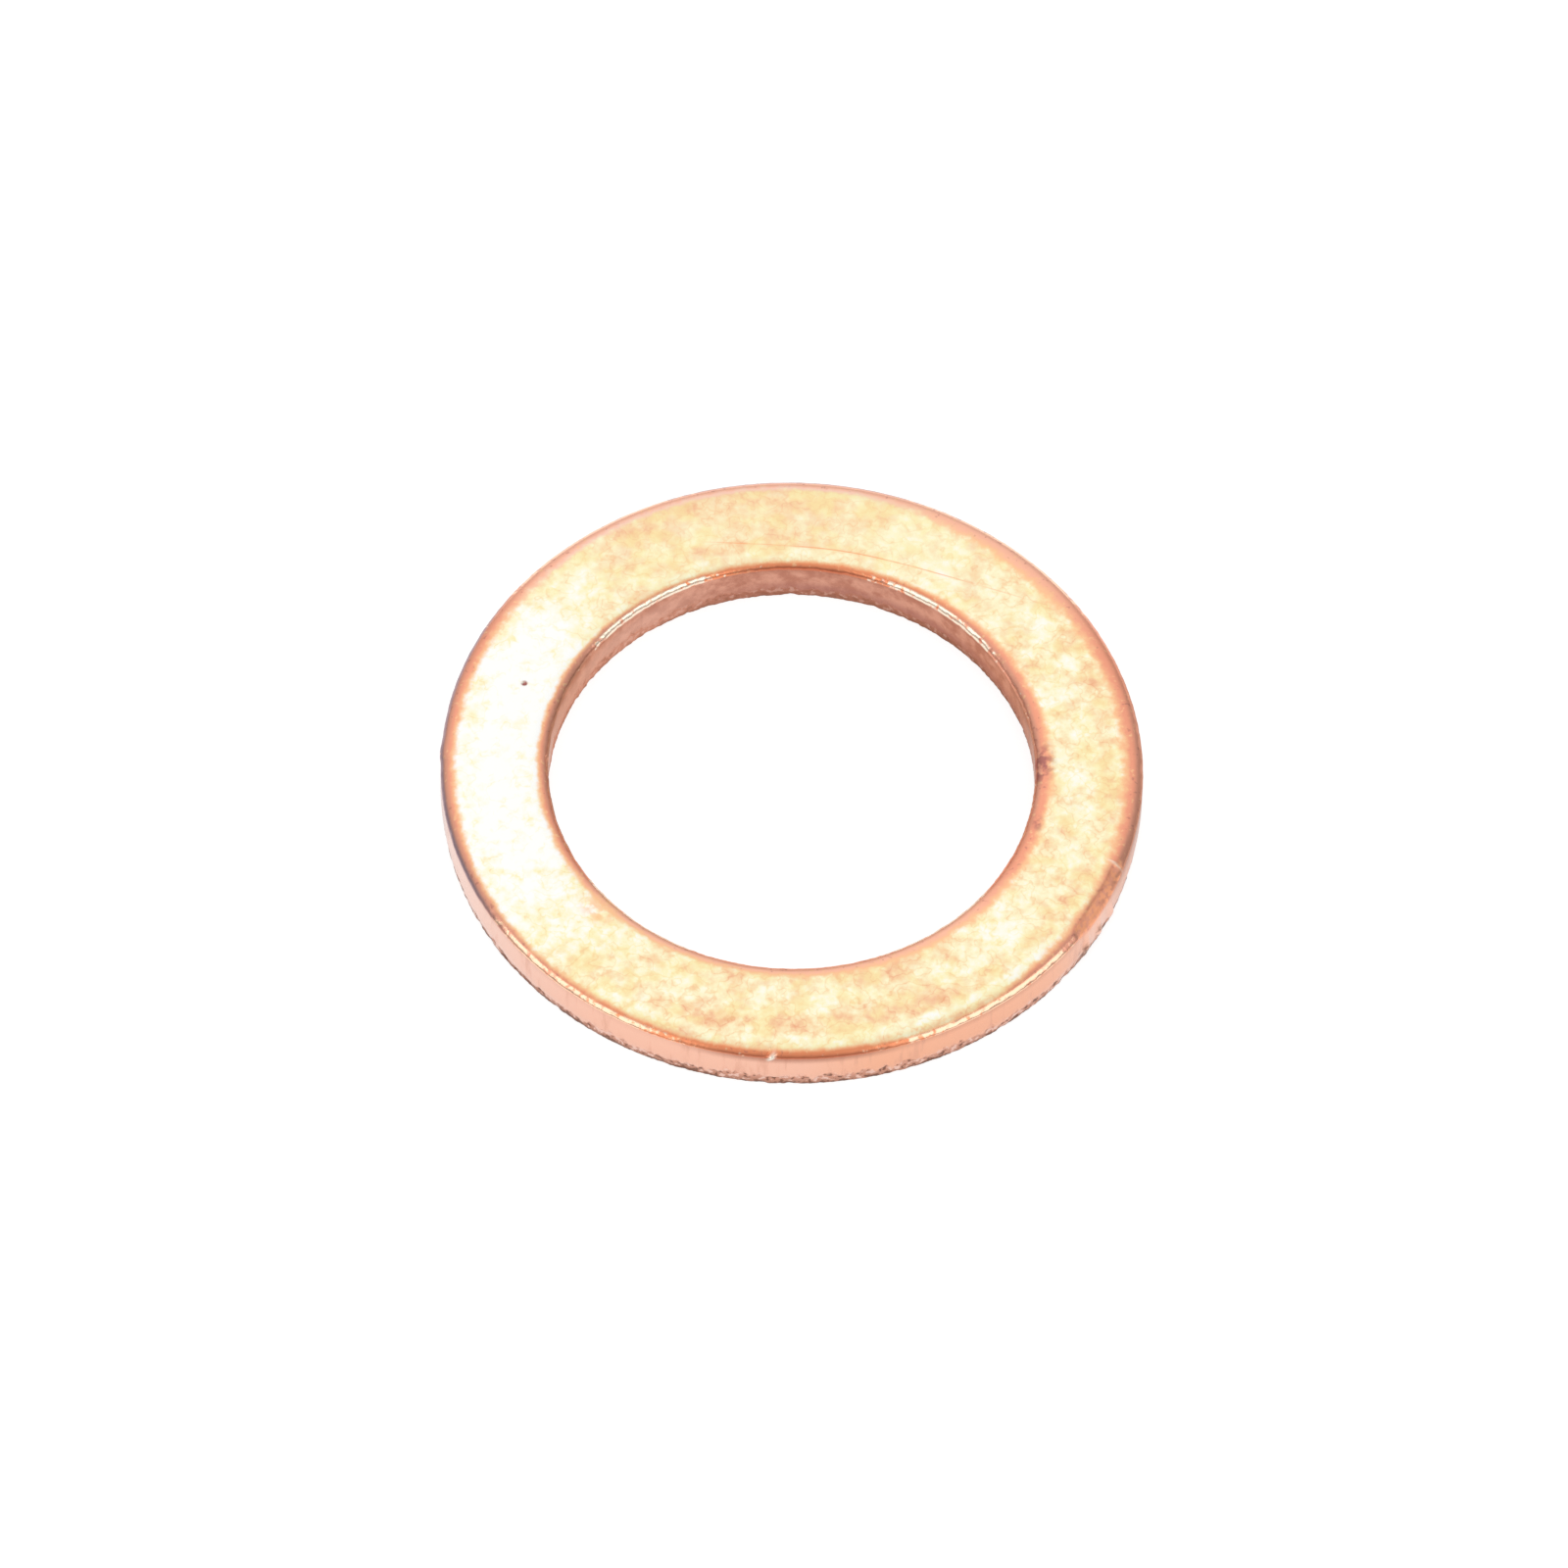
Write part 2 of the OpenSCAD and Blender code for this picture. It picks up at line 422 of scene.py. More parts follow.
# The half sizes of the swell, and the radius and depth of the chip and of the pit
SWELL_HALF = 0.6 * MM
SWELL_HALF_HEIGHT = 0.35 * MM
CHIP_R = 0.14 * MM
PIT_R = 0.1 * MM
SMALL_DEPTH = 0.06 * MM


def ramp(value, none_at, all_at):
    """A share that rises smoothly from 0 where the value is none_at to 1 where it is all_at."""
    share = min(1.0, max(0.0, (value - none_at) / (all_at - none_at)))
    return share * share * (3.0 - 2.0 * share)


def fade(distance, reach):
    """1 at no distance, falling smoothly to 0 at reach and beyond."""
    return ramp(abs(distance), reach, 0.0)


def lumps(place, size, shift):
    """Smooth noise from about -1 to 1, whose lumps are about size across."""
    return noise.noise(place / size + Vector((shift, shift, shift)))


def uneven(place, noises):
    """The sum of several noises at a place."""
    return sum(weight * lumps(place, size, shift) for weight, size, shift in noises)


def on_ring(radius, angle, z):
    """A place given by its radius, its direction and its height."""
    return Vector((radius * math.cos(angle), radius * math.sin(angle), z))


def roll_of(radius, section):
    """The radius of the nearer wall, and the width, drop and corner radius of the roll above it."""
    if radius > MIDDLE_R:
        return OUTER_R, section.outer_roll_w, section.outer_roll_drop, section.outer_corner_r
    return HOLE_R, section.hole_roll_w, section.hole_roll_drop, section.hole_corner_r


def crest_weight(radius, z, section):
    """1 on the corner between a roll and its wall, fading out around it."""
    wall_r, _, drop, _ = roll_of(radius, section)
    return fade(math.hypot(radius - wall_r, THICKNESS - drop - z), CREST_REACH)


def torn_height(place, outer, section):
    """How high the torn band reaches. On the outer wall it is highest in front."""
    if not outer:
        return section.hole_torn_h
    off = math.atan2(place.y, place.x) - TORN_HIGH_AT
    return section.outer_torn_h * (TORN_LEAST + (1.0 - TORN_LEAST) * fade(off, TORN_HIGH_REACH))


def torn_share(place, radius, section):
    """How much a place belongs to the torn band, whose upper edge is ragged."""
    outer = radius > MIDDLE_R
    if abs(radius - (OUTER_R if outer else HOLE_R)) > TORN_IN:
        return 0.0
    foot = Vector((place.x, place.y, 0.0))
    edge = torn_height(place, outer, section) * (TORN_MEAN + TORN_RAGGED * uneven(foot, RAGGED_LUMPS))
    return min(1.0, max(0.0, (edge - place.z) / TORN_BLEND + 0.5))


def shift_vertex(place, section, wear):
    """How far a vertex of the true ring moves out along its radius and up, and how torn it is."""
    radius = math.hypot(place.x, place.y)
    outward = 1.0 if radius > MIDDLE_R else -1.0
    crest = crest_weight(radius, place.z, section)
    torn = torn_share(place, radius, section)
    along = 0.0
    up = 0.0
    if crest > 0.0:
        ripple = wear.crest_ripple if outward > 0.0 else wear.hole_ripple
        along += outward * crest * ripple * uneven(place, CREST_LUMPS)
        up += crest * wear.crest_ripple * (uneven(place, CREST_RISE) - CREST_SUNK)
    if torn > 0.0:
        gouge = GOUGE_DEPTH * max(0.0, uneven(place, GOUGE_LUMPS) - GOUGE_FROM)
        along -= outward * torn * wear.torn_ripple * (TORN_SUNK + uneven(place, TORN_LUMPS) + gouge)
        if outward < 0.0:
            along += HOLE_FOOT_SHIFT * place.x / radius * fade(place.z, section.hole_torn_h)
        foot = Vector((place.x, place.y, 0.0))
        up += fade(place.z, FOOT_REACH) * wear.torn_ripple * max(0.0, uneven(foot, FOOT_LUMPS))
    return along, up, torn


def mark_places(section, wear):
    """The middles of the marks that handling left."""
    crest_z = THICKNESS - section.outer_roll_drop
    dent_z = THICKNESS - DENT_DOWN * section.outer_roll_drop
    return {
        "nick": on_ring(OUTER_R, wear.nick_angle, crest_z),
        "dent": on_ring(OUTER_R - wear.dent_in, wear.dent_angle, dent_z),
        "flat": on_ring(OUTER_R, wear.crushed_angle, crest_z),
        "chip": on_ring(HOLE_R, wear.chip_angle, THICKNESS - section.hole_roll_drop),
        "pit": on_ring(HOLE_R + wear.pit_in, wear.pit_angle, THICKNESS),
    }


def mark_shift(place, marks, wear):
    """How far the marks of handling move a vertex, as a vector, and how freshly bared the metal is there."""
    angle = math.atan2(place.y, place.x)
    out = Vector((math.cos(angle), math.sin(angle), 0.0))
    above = Vector((0.0, 0.0, 1.0))
    moved = Vector()
    fresh = 0.0

    # A flake lifted on the slant, with the groove that it came out of beside it
    if (place - marks["nick"]).length < MARK_REACH["nick"]:
        around = (angle - wear.nick_angle) * OUTER_R
        rise = place.z - marks["nick"].z
        length = fade(NICK_SLANT * (around + rise), FLAKE_HALF_LENGTH)
        across = NICK_SLANT * (around - rise)
        flake = length * fade(across, FLAKE_HALF)
        groove = length * fade(across + GROOVE_OFF, GROOVE_HALF)
        moved += (out + NICK_RISE * above) * (FLAKE_HEIGHT * flake - GROOVE_DEPTH * groove)
        fresh = max(fresh, flake)

    # A blow on the outer roll, with the ridge that it pushed up on one side
    if (place - marks["dent"]).length < MARK_REACH["dent"]:
        around = (angle - wear.dent_angle) * OUTER_R
        inwards = OUTER_R - math.hypot(place.x, place.y)
        ridge = fade(around - RIDGE_OFF - RIDGE_SLANT * inwards, RIDGE_HALF)
        ridge *= fade(inwards - RIDGE_IN, RIDGE_HALF_LENGTH)
        hollow = fade((place - marks["dent"]).length, DENT_R)
        moved += (DENT_OUT * out + DENT_RISE * above) * (RIDGE_HEIGHT * ridge - DENT_DEPTH * hollow)
        fresh = max(fresh, RIDGE_FRESH * ridge)

    # A flat struck across the outer corner, with burrs standing out below it
    if (place - marks["flat"]).length < MARK_REACH["flat"]:
        around = (angle - wear.crushed_angle) * OUTER_R
        slant = on_ring(math.sin(wear.crushed_lean), wear.crushed_angle, math.cos(wear.crushed_lean))
        lost = wear.crushed_depth + uneven(place, FLAT_LUMPS)
        over = (place - marks["flat"]).dot(slant) + lost
        begins = ramp(around + wear.crushed_before, *FLAT_BEGINS)
        moved -= slant * begins * (over + math.hypot(over, FLAT_BLEND)) / 2
        for burr_angle in BURR_ANGLES:
            burr = fade((angle - burr_angle) * OUTER_R, BURR_HALF)
            moved += out * BURR_HEIGHT * burr * fade(place.z - BURR_Z, BURR_REACH)

    swell = fade((angle - wear.swell_angle) * OUTER_R, SWELL_HALF)
    if swell > 0.0 and math.hypot(place.x, place.y) > MIDDLE_R:
        moved += out * wear.swell_height * swell * fade(place.z - marks["nick"].z, SWELL_HALF_HEIGHT)

    moved += out * SMALL_DEPTH * fade((place - marks["chip"]).length, CHIP_R)
    moved -= above * SMALL_DEPTH * fade((place - marks["pit"]).length, PIT_R)
    return moved, fresh


# How softly a wall's surface begins, and how deep the flat goes where it shows fully
WALL_BLEND = 0.04 * MM
CRUSHED_WHOLE = 0.06 * MM


def flat_drop(angle, wear):
    """How much lower the outer wall begins where the flat took off its corner."""
    off = angle - wear.crushed_angle
    if off * OUTER_R < -wear.crushed_before or abs(off) > math.pi / 2:
        return 0.0
    lost = wear.crushed_depth - OUTER_R * (1.0 - math.cos(off)) * math.sin(wear.crushed_lean)
    return max(0.0, lost / math.cos(wear.crushed_lean))


def edge_zones(place, section, wear):
    """How far a place lies down a roll, from 0 at the face to 1 at the wall, how much it belongs to the wall
    below, and how much of the corner was crushed there."""
    radius = math.hypot(place.x, place.y)
    _, width, drop, corner_r = roll_of(radius, section)
    corner_ends = roll_arcs(width, drop, corner_r, section)[-1][-1]
    depth = THICKNESS - place.z
    lower = flat_drop(math.atan2(place.y, place.x), wear) if radius > MIDDLE_R else 0.0
    wall = min(1.0, max(0.0, (depth - corner_ends - lower) / WALL_BLEND + 1.0))
    return min(1.0, depth / drop), wall, ramp(lower, 0.0, CRUSHED_WHOLE)


# What each vertex notes for the material
ATTRIBUTES = ("roll_depth", "wall", "crushed", "torn", "fresh")


def weather_ring(bm, section, wear):
    """Move the ring's vertices as shearing and handling did, and note what each surface is."""
    marks = mark_places(section, wear)
    for name, reach, pitch in MARK_PITCHES:
        refine_near(bm, marks[name], reach, pitch)
    layers = {name: bm.verts.layers.float.new(name) for name in ATTRIBUTES}
    for vert in bm.verts:
        place = vert.co.copy()
        along, up, torn = shift_vertex(place, section, wear)
        moved, fresh = mark_shift(place, marks, wear)
        out = Vector((place.x, place.y, 0.0)).normalized()
        vert.co = place + out * along + Vector((0.0, 0.0, up)) + moved
        vert.co.z = max(0.0, vert.co.z)
        noted = (*edge_zones(place, section, wear), torn, fresh)
        for name, value in zip(ATTRIBUTES, noted):
            vert[layers[name]] = value


# Materials

def add_node(tree, kind, *inputs, sockets=None, stops=None, out=0, **settings):
    """Add a node with its settings, its colour stops, and what goes into its sockets, in order or by name:
    plain values or other nodes' outputs. Give one of its outputs, if it has any."""
    made = tree.nodes.new(kind)
    for name, value in settings.items():
        setattr(made, name, value)
    for socket, source in (*enumerate(inputs), *(sockets or {}).items()):
        if isinstance(source, bpy.types.NodeSocket):
            tree.links.new(source, made.inputs[socket])
        else:
            made.inputs[socket].default_value = source
    if stops:
        elements = made.color_ramp.elements
        while len(elements) < len(stops):
            elements.new(1.0)
        for element, (position, colour) in zip(elements, stops):
            element.position = position
            element.color = colour
    return made.outputs[out] if made.outputs else None


# What the rows of a pattern add besides Math nodes: the node, its settings, and the sockets that a row fills.
# RISE goes smoothly from 0 to 1, or between the row's last two values, while its source goes from one value
# to another. BLEND goes from its second source to its third by its first
ROW_NODES = {
    "RISE": ("ShaderNodeMapRange", {"interpolation_type": "SMOOTHSTEP"}, range(5)),
    "BLEND": ("ShaderNodeMix", {"data_type": "FLOAT"}, (0, 2, 3)),
}


def work_out(tree, at, rows):
    """Add the nodes of each row of a pattern, and keep what they give under the row's name. A product or a
    maximum of more than two sources takes several nodes."""
    for name, how, *sources in rows:
        values = [at.get(source, source) for source in sources]
        while how in ("MULTIPLY", "MAXIMUM") and len(values) > 2:
            values[:2] = [add_node(tree, "ShaderNodeMath", *values[:2], operation=how)]
        kind, settings, sockets = ROW_NODES.get(how, ("ShaderNodeMath", {"operation": how}, range(3)))
        at[name] = add_node(tree, kind, sockets=dict(zip(sockets, values)), **settings)


def lay_coats(tree, at, colours, coats):
    """Lay colours over one another by their shares, as each row says, and keep the last under its name."""
    for name, ground, *layers in coats:
        colour = colours[ground]
        for share, over in layers:
            colour = add_node(tree, "ShaderNodeMix", sockets={0: at[share], 6: colour, 7: colours[over]},
                              data_type="RGBA", out=2)
        colours[name] = colour


# Soft spots and rings are whole within this share of their half sizes
SOFT_WHOLE = 0.3


def spot_share(tree, place, centre_mm, half_mm):
    """The share of a soft oval spot, with its centre and half sizes in millimetres."""
    local = add_node(
        tree, "ShaderNodeMapping", place, vector_type="TEXTURE",
        sockets={"Location": [v * MM for v in centre_mm], "Scale": [v * MM for v in half_mm]},
    )
    off = add_node(tree, "ShaderNodeVectorMath", local, operation="LENGTH", out="Value")
    return add_node(tree, "ShaderNodeMapRange", off, 1.0, SOFT_WHOLE, interpolation_type="SMOOTHSTEP")


def blank_material(name):
    """A material with an empty node tree."""
    material = bpy.data.materials.new(name)
    material.use_nodes = True
    material.node_tree.nodes.clear()
    return material


def grey(level):
    """A grey RGBA."""
    return (level, level, level, 1.0)


# Each noise of the copper: the size of its lumps in millimetres, its detail and roughness, how far it is
# moved along each axis in millimetres, so that no two are alike, and how much its heights are squashed. The
# lumps of the scores are thin round the ring and long up the wall
NOISES = {
    "mottle": (0.34, 3.0, 0.6, 0.0, 1.0),
    "blotches": (0.95, 2.0, 0.5, 2.0, 1.0),
    "blushes": (0.8, 3.0, 0.6, 7.0, 1.0),
    "lemons": (0.65, 2.0, 0.5, 15.0, 1.0),
    "veins": (0.5, 2.0, 0.5, 12.0, 1.0),
    "scratch_gaps": (1.1, 2.0, 0.5, 17.0, 1.0),
    "grain": (0.12, 2.0, 0.5, 0.0, 1.0),
    "specks": (0.16, 1.0, 0.5, 5.0, 1.0),
    "beads": (0.17, 1.0, 0.5, 31.0, 1.0),
    "wall_blotches": (0.5, 3.0, 0.6, 9.0, 1.0),
    "torn_lumps": (0.2, 2.0, 0.5, 13.0, 1.0),
    "stain_edges": (0.25, 2.0, 0.6, 21.0, 1.0),
    "scores": (0.3, 3.0, 0.6, 0.0, 0.15),
}

# Where a place lies: directions from -1 to 1, and lengths in metres
PLACE_ROWS = (
    ("rightwards", "DIVIDE", "x", "radius"),
    ("backwards", "DIVIDE", "y", "radius"),
    ("slant_right", "MULTIPLY", "rightwards", 0.8),
    ("slantwise", "MULTIPLY_ADD", "backwards", -0.6, "slant_right"),
    ("sideways", "ABSOLUTE", "rightwards"),
    ("sideways_squared", "MULTIPLY", "rightwards", "rightwards"),
    ("hole_side", "LESS_THAN", "radius", MIDDLE_R),
    ("outer_side", "SUBTRACT", 1.0, "hole_side"),
    ("side_sign", "MULTIPLY_ADD", "hole_side", 2.0, -1.0),
    ("facing_front", "MULTIPLY", "backwards", "side_sign"),
    ("lengthways", "ABSOLUTE", "facing_front"),
    ("from_outer", "SUBTRACT", OUTER_R, "radius"),
    ("from_hole", "SUBTRACT", "radius", HOLE_R),
    ("inwards", "MINIMUM", "from_outer", "from_hole"),
    ("crest_z", "BLEND", "hole_side", "outer_crest_z", "hole_crest_z"),
    ("below", "SUBTRACT", "crest_z", "z"),
    ("upper", "RISE", "z", 0.02 * MM, 0.06 * MM),
    ("beside_wall", "RISE", "inwards", 0.32 * MM, 0.24 * MM),
    ("above_foot", "RISE", "z", 0.0, 0.04 * MM),
    ("on_side", "MULTIPLY", "beside_wall", "above_foot"),
)

# The parts of the ring by direction. The rolls and walls look different in front, behind and at the two ends
# because the light falls on them differently there, and these shares lay painted light and shade
SIDE_ROWS = (
    ("in_front", "RISE", "facing_front", 0.6, 0.98),
    ("front_slant", "MULTIPLY_ADD", "rightwards", 0.04, "facing_front"),
    ("foremost", "RISE", "front_slant", 0.93, 1.0),
    ("not_behind", "RISE", "facing_front", -0.5, -0.1),
    ("behind", "RISE", "facing_front", -0.4, -0.8),
    ("behind_outer", "MULTIPLY", "behind", "outer_side"),
    ("left_side", "RISE", "rightwards", -0.72, -0.92),
    ("right_side", "RISE", "rightwards", 0.86, 0.96),
    ("right_half", "RISE", "rightwards", 0.0, 0.3),
    ("before_right_end", "RISE", "rightwards", 0.95, 0.8),
    ("front_right", "MULTIPLY", "right_half", "before_right_end"),
    ("turned_away", "RISE", "sideways", 0.96, 1.0, 0.0, 0.4),
)

# Rings of tone on the upper face: the radius and half width of each in millimetres, how much it changes the
# tone, and the shares that it shows by. A wide one lies half way. Outside it lie painted shade on the right,
# a painted highlight in front where the face begins to bend and mirrors the light above, and painted shade on
# the left. The last is a painted highlight, and lies beside the hole behind
PRESS_RINGS = (
    (8.4, 0.95, 0.06, ()),
    (9.05, 0.35, -0.07, ("ring_warm",)),
    (9.62, 0.24, 1.0, ("ring_light", "ring_lighter")),
    (9.65, 0.55, -0.05, ("ring_warm_left",)),
    (7.4, 0.3, 0.13, ("ring_pale",)),
)
RING_ROWS = (
    ("ring_warm", "RISE", "slantwise", -0.1, 0.4),
    ("ring_light", "RISE", "backwards", -0.4, -0.7),
    ("ring_lighter", "RISE", "rightwards", 0.0, 0.4, 0.12, 0.2),
    ("ring_warm_left", "RISE", "rightwards", -0.5, -0.85),
    ("ring_pale", "RISE", "backwards", 0.7, 0.9),
)

# Where the sheet's tone differs, as centre and half sizes in millimetres and tone: the left is much paler, a
# painted highlight where a lamp's reflection falls on the face; other parts are a little paler, and two
# behind are a little warmer
TONE_SPOTS = (
    ((-8.6, -0.4, 1.58), (6.8, 9.8, 9.0), 0.44),
    ((7.4, 0.6, 1.58), (3.6, 9.5, 9.0), 0.1),
    ((8.2, 4.0, 1.58), (2.2, 2.2, 9.0), -0.03),
    ((4.4, 7.2, 1.58), (2.6, 2.6, 9.0), 0.1),
    ((-2.0, 8.4, 1.58), (4.8, 2.6, 9.0), -0.05),
    ((-7.3, 2.7, 1.58), (2.0, 2.4, 9.0), 0.04),
    ((-4.3, -7.4, 1.58), (2.6, 2.2, 9.0), 0.06),
    ((6.0, -5.2, 1.58), (2.2, 2.2, 9.0), 0.11),
)

# The sheet's mean tone, and how much its mottle, blotches and veins change it
MIDDLE_TONE = 0.53
MOTTLE_TONE = 0.9
BLOTCH_TONE = 0.6
VEIN_TONE = -0.13
TONE_ROWS = (
    ("calm", "RISE", "y", 4.0 * MM, 9.0 * MM, 1.0, 0.65),
    ("vein_side", "SUBTRACT", "veins", 0.5),
    ("vein_off", "ABSOLUTE", "vein_side"),
    ("vein", "RISE", "vein_off", 0.035, 0.005, 0.0, VEIN_TONE),
    ("mottled", "MULTIPLY_ADD", "mottle", MOTTLE_TONE, -(MOTTLE_TONE + BLOTCH_TONE) / 2),
    ("blotched", "MULTIPLY_ADD", "blotches", BLOTCH_TONE, "mottled"),
    ("uneven", "ADD", "blotched", "vein"),
    ("mean_tone", "MULTIPLY_ADD", "uneven", "calm", MIDDLE_TONE),
    ("spotted_tone", "ADD", "mean_tone", "spot_tone"),
    ("tone", "ADD", "spotted_tone", "ring_tone"),
    ("unworn", "RISE", "tone", 0.85, 0.6),
    ("blush_lumps", "RISE", "blushes", 0.52, 0.7, 0.0, 0.3),
    ("blush", "MULTIPLY", "blush_lumps", "unworn"),
    ("lemon_lumps", "RISE", "lemons", 0.42, 0.66, 0.0, 0.4),
    ("lemon", "MULTIPLY", "lemon_lumps", "unworn"),
)

# The sheet's colours by its tone, from where oxide stayed to where handling wore it bright; the palest also
# carry the painted highlight on the left
SHEET_TONES = (
    (0.15, "oxide"), (0.32, "copper"), (0.46, "gold"), (0.56, "straw"), (0.68, "cream"), (0.85, "pale"),
    (1.0, "bright"),
)

# A hair scratch across the far side of the upper face, which bends once. It follows
# y = SCRATCH_Y - SCRATCH_SLOPE * (u + sqrt(u * u + SCRATCH_BEND ** 2)), with u = x - SCRATCH_X
SCRATCH_X = 1.4 * MM
SCRATCH_Y = 7.78 * MM
SCRATCH_BEND = 1.6 * MM
SCRATCH_SLOPE = 0.165
SCRATCH_ROWS = (
    ("scratch_along", "SUBTRACT", "x", SCRATCH_X),
    ("scratch_squared", "MULTIPLY_ADD", "scratch_along", "scratch_along", SCRATCH_BEND ** 2),
    ("scratch_bend", "SQRT", "scratch_squared"),
    ("scratch_run", "ADD", "scratch_along", "scratch_bend"),
    ("scratch_y", "MULTIPLY_ADD", "scratch_run", -SCRATCH_SLOPE, SCRATCH_Y),
    ("scratch_across", "SUBTRACT", "y", "scratch_y"),
    ("scratch_off", "ABSOLUTE", "scratch_across"),
    ("scratch_line", "RISE", "scratch_off", 0.035 * MM, 0.008 * MM),
    ("scratch_begins", "RISE", "x", -3.0 * MM, -1.5 * MM),
    ("scratch_fades", "RISE", "x", 9.0 * MM, 3.0 * MM),
    ("scratch_shows", "RISE", "scratch_gaps", 0.3, 0.5, 0.25, 0.65),
    ("scratch", "MULTIPLY", "scratch_line", "scratch_shows", "scratch_begins", "scratch_fades"),
)

# Where the warm tint along the outer edge, partly painted shade, is narrower or wider: centre and half sizes
# in millimetres, gain
TINT_SPOTS = (
    ((4.8, -8.6, 1.5), (3.4, 3.4, 9.0), -0.14 * MM),
    ((-6.3, -7.9, 1.5), (3.4, 3.4, 9.0), 0.05 * MM),
    ((5.6, 7.6, 1.5), (3.4, 3.4, 9.0), 0.12 * MM),
)
# How wide the tint is: its mean, with what it gains to the right, behind, and at both ends. The tint is
# partly the drawn copper and partly painted shade where the edges bend away from the light, so its width
# follows how the light falls. The part beside the wall has the colour of the roll, and the rest that of the
# rim
TINT_ROWS = (
    ("outer_mean", "MULTIPLY_ADD", "rightwards", 0.1 * MM, 0.345 * MM),
    ("outer_behind", "MULTIPLY_ADD", "backwards", 0.095 * MM, "outer_mean"),
    ("outer_at_ends", "MULTIPLY_ADD", "backwards", 0.15 * MM, 0.235 * MM),
    ("outer_broad", "MULTIPLY_ADD", "sideways_squared", "outer_at_ends", "outer_behind"),
    ("outer_width", "ADD", "outer_broad", "tint_gain"),
    ("hole_mean", "MULTIPLY_ADD", "rightwards", 0.105 * MM, 0.345 * MM),
    ("hole_behind", "MULTIPLY_ADD", "backwards", -0.13 * MM, "hole_mean"),
    ("hole_width", "MULTIPLY_ADD", "sideways_squared", 0.13 * MM, "hole_behind"),
    ("tint_width", "BLEND", "hole_side", "outer_width", "hole_width"),
    ("tint_depth", "DIVIDE", "inwards", "tint_width"),
    ("tint_mottle", "MULTIPLY_ADD", "mottle", 0.7, -0.35),
    ("tint_in", "ADD", "tint_depth", "tint_mottle"),
    ("rim_in", "RISE", "tint_in", 1.1, 0.7),
    ("rim", "MULTIPLY", "rim_in", "upper"),
    ("roll_in", "RISE", "tint_in", 0.86, 0.46),
    ("roll", "MULTIPLY", "roll_in", "upper"),
)

# The rolls and their corners. The corners are polished in beads between the four sides, where the side lamps
# are mirrored, and their paler colour there is partly a painted glint. On the four sides the corners are
# rougher and carry painted shade, and low on the rolls the copper is deepened by painted shade
ROLL_ROWS = (
    ("speckles", "RISE", "specks", 0.62, 0.74, 0.0, 0.7),
    ("spots", "RISE", "specks", 0.36, 0.26, 0.0, 0.45),
    ("roll_lower", "RISE", "roll_depth", 0.2, 0.42),
    ("low_roll", "MULTIPLY", "roll_lower", "on_side", "not_behind"),
    ("off_front", "RISE", "sideways", 0.22, 0.47),
    ("off_ends", "RISE", "lengthways", 0.5, 0.66),
    ("rubbed", "MULTIPLY", "off_front", "off_ends", 0.62),
    ("rubbed_beads", "MULTIPLY_ADD", "beads", 1.6, "rubbed"),
    ("beaded", "RISE", "rubbed_beads", 1.05, 1.4),
    ("uncrushed", "SUBTRACT", 1.0, "crushed"),
    ("polished", "MULTIPLY", "beaded", "uncrushed"),
    ("corner", "RISE", "roll_depth", 0.42, 0.57),
    ("shiny", "MULTIPLY", "corner", "on_side", "polished"),
    ("lilac_left", "MULTIPLY", "left_side", "outer_side"),
    ("lilac", "MAXIMUM", "lilac_left", "behind_outer"),
    ("dull_depth", "MULTIPLY_ADD", "lilac", 0.14, "roll_depth"),
    ("dull_low", "RISE", "dull_depth", 0.57, 0.92),
    ("dull_right", "MULTIPLY", "right_side", 0.6),
    ("dull_behind", "MULTIPLY", "behind_outer", 0.85),
    ("dull_sides", "MAXIMUM", "foremost", "left_side", "dull_right", "dull_behind"),
    ("dull_corner", "MULTIPLY", "dull_low", "on_side", "dull_sides"),
    ("pink_left", "RISE", "rightwards", 0.6, 0.1),
    ("pink_behind", "MULTIPLY", "behind_outer", "pink_left"),
    ("crushed_side", "MULTIPLY", "crushed", "on_side"),
    ("smears", "RISE", "specks", 0.42, 0.58, 0.2, 1.0),
    ("smeared", "MULTIPLY", "smears", "crushed_side"),
)

